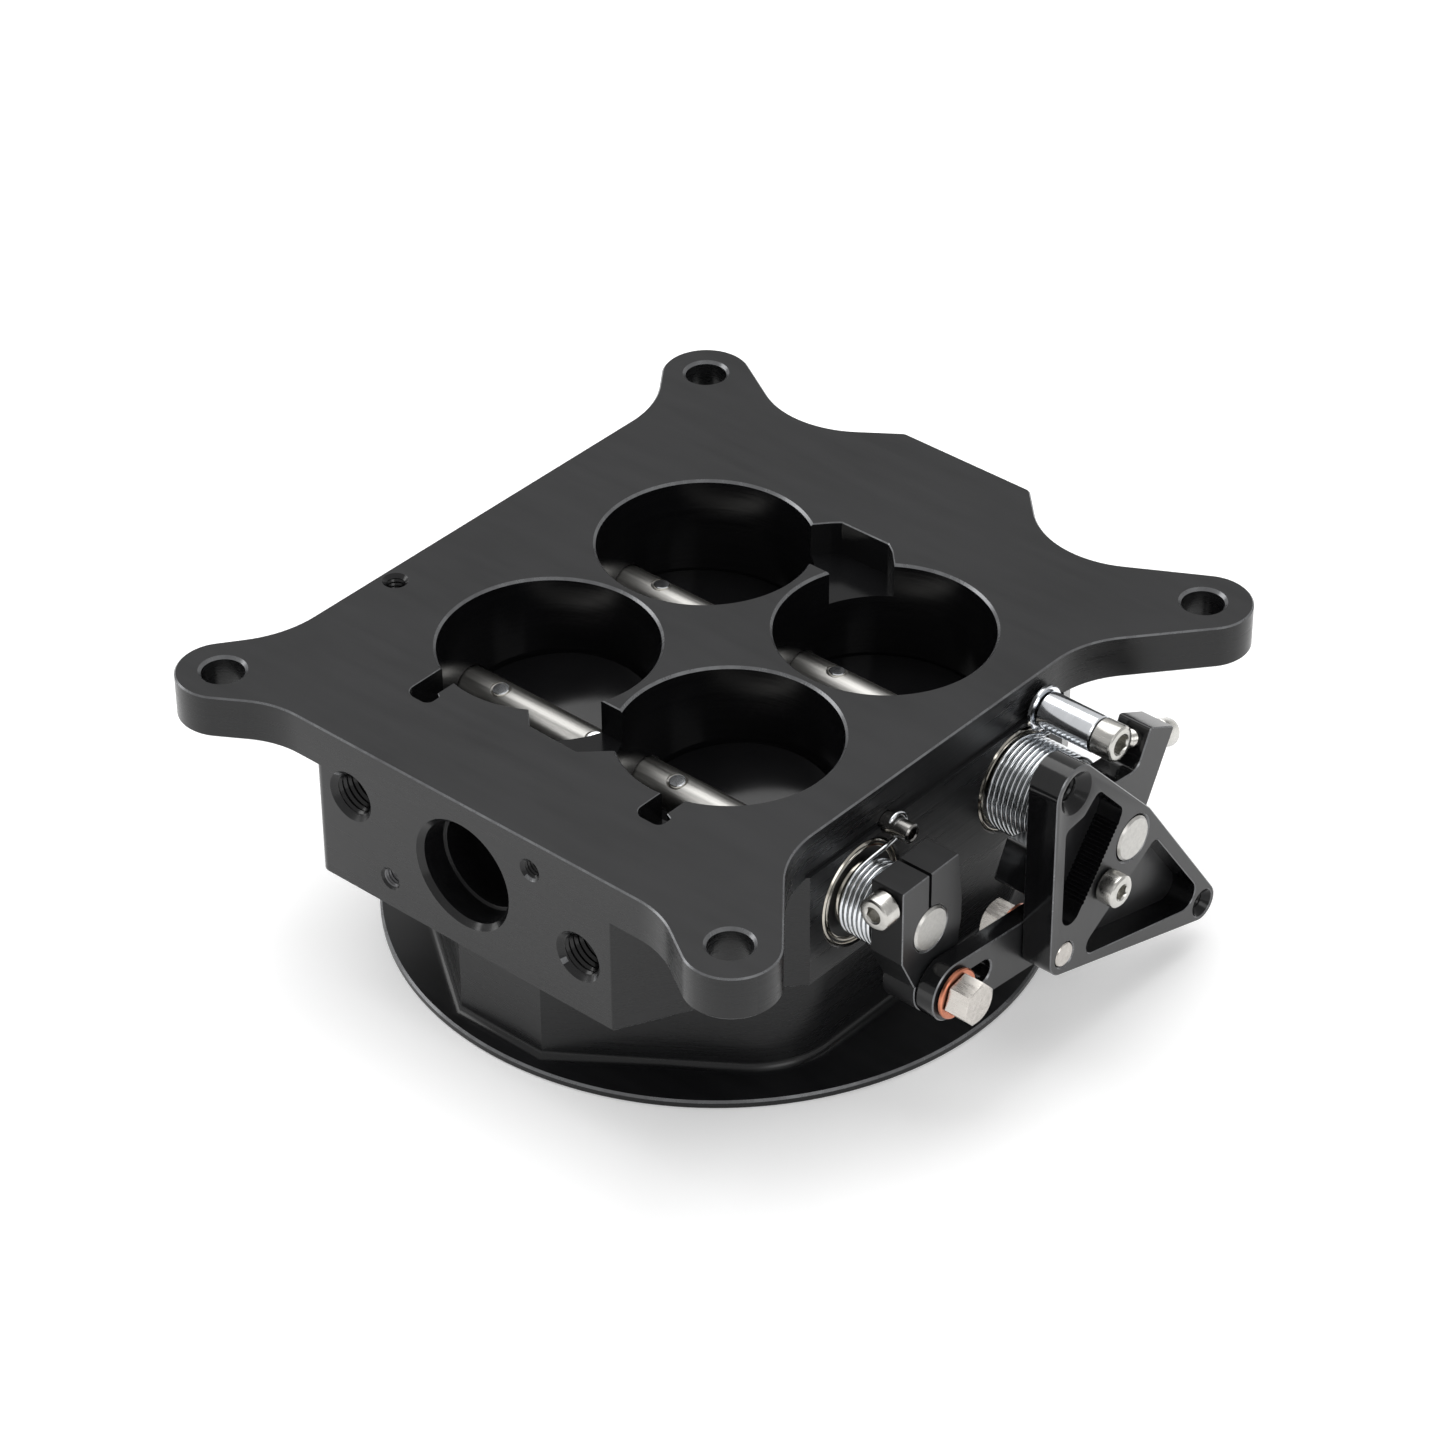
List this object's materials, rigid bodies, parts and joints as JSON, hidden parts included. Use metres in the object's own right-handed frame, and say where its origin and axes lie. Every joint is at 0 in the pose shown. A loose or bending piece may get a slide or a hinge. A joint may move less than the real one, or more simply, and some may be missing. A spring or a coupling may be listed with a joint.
{
  "type": "throttle body",
  "caption": "Square-flange throttle body: paired bores with round blades, parallel throttle shafts, torsion return springs and a progressive lever linkage, on a round air-cleaner ring.",
  "frame": {"origin": "centre of the manifold gasket face, between the bores", "axes": "+X along the shafts toward the linkage, +Y from the front ports to the back, +Z out of the manifold face"},
  "size_m": [0.1648, 0.1623, 0.0694],
  "materials": {
    "black_anodised": "satin black anodised billet",
    "black_lever": "satin black anodised, machined",
    "blade_dark": "dark anodised sheet disc",
    "stainless": "turned stainless",
    "zinc_steel": "bright zinc plate",
    "spring_wire": "bright drawn wire",
    "spring_black": "black oxide",
    "bearing_steel": "ground bearing steel",
    "copper": "plain copper"
  },
  "bodies": {
    "housing_body": {"housing": "black_anodised", "primary_bearing_right": "bearing_steel", "primary_bearing_left": "bearing_steel", "secondary_bearing_right": "bearing_steel", "secondary_bearing_left": "bearing_steel", "primary_return_spring": "spring_wire", "secondary_return_spring": "spring_wire", "stop_post_washer": "zinc_steel", "stop_post": "zinc_steel", "stop_post_screw": "stainless", "spring_anchor_pin": "zinc_steel"},
    "primary_body": {"primary_shaft": "stainless", "primary_blade_left": "blade_dark", "primary_blade_right": "blade_dark", "primary_retaining_ring": "spring_black", "primary_lever": "black_lever", "lever_cap_screw": "stainless", "stop_hub": "black_lever", "idle_stop_screw": "stainless", "link_bolt_rear": "zinc_steel", "copper_washer_rear": "copper", "primary_blade_screw_1": "stainless", "primary_blade_screw_2": "stainless", "primary_blade_screw_3": "stainless", "primary_blade_screw_4": "stainless"},
    "secondary_body": {"secondary_shaft": "stainless", "secondary_blade_left": "blade_dark", "secondary_blade_right": "blade_dark", "secondary_retaining_ring": "spring_black", "secondary_lever": "black_lever", "clamp_screw": "stainless", "link_bolt_front": "zinc_steel", "copper_washer_front": "copper", "secondary_blade_screw_1": "stainless", "secondary_blade_screw_2": "stainless", "secondary_blade_screw_3": "stainless", "secondary_blade_screw_4": "stainless"},
    "link_body": {"link_bar": "black_lever"}
  },
  "joints": [
    {"name": "primary_throttle", "type": "hinge", "parent": "housing_body", "child": "primary_body", "pos_m": [0, 0.0235, -0.0213], "axis": [1, 0, 0], "range_deg": [-85, 0], "stiffness_Nm_per_rad": 0.2, "springref_deg": 40.11, "deforming": ["primary_return_spring"]},
    {"name": "secondary_throttle", "type": "hinge", "parent": "housing_body", "child": "secondary_body", "pos_m": [0, -0.0235, -0.0213], "axis": [1, 0, 0], "range_deg": [0, 85], "stiffness_Nm_per_rad": 0.1, "springref_deg": -40.11, "deforming": ["secondary_return_spring"]},
    {"name": "link_pivot", "type": "hinge", "parent": "primary_body", "child": "link_body", "pos_m": [0.0762, 0.003, -0.0376], "axis": [1, 0, 0], "range_deg": [0, 150]}
  ],
  "couplings": [
    {"joint": "secondary_throttle", "follows": "primary_throttle", "ratio": -1},
    {"joint": "link_pivot", "follows": "primary_throttle", "ratio": -1.72}
  ]
}
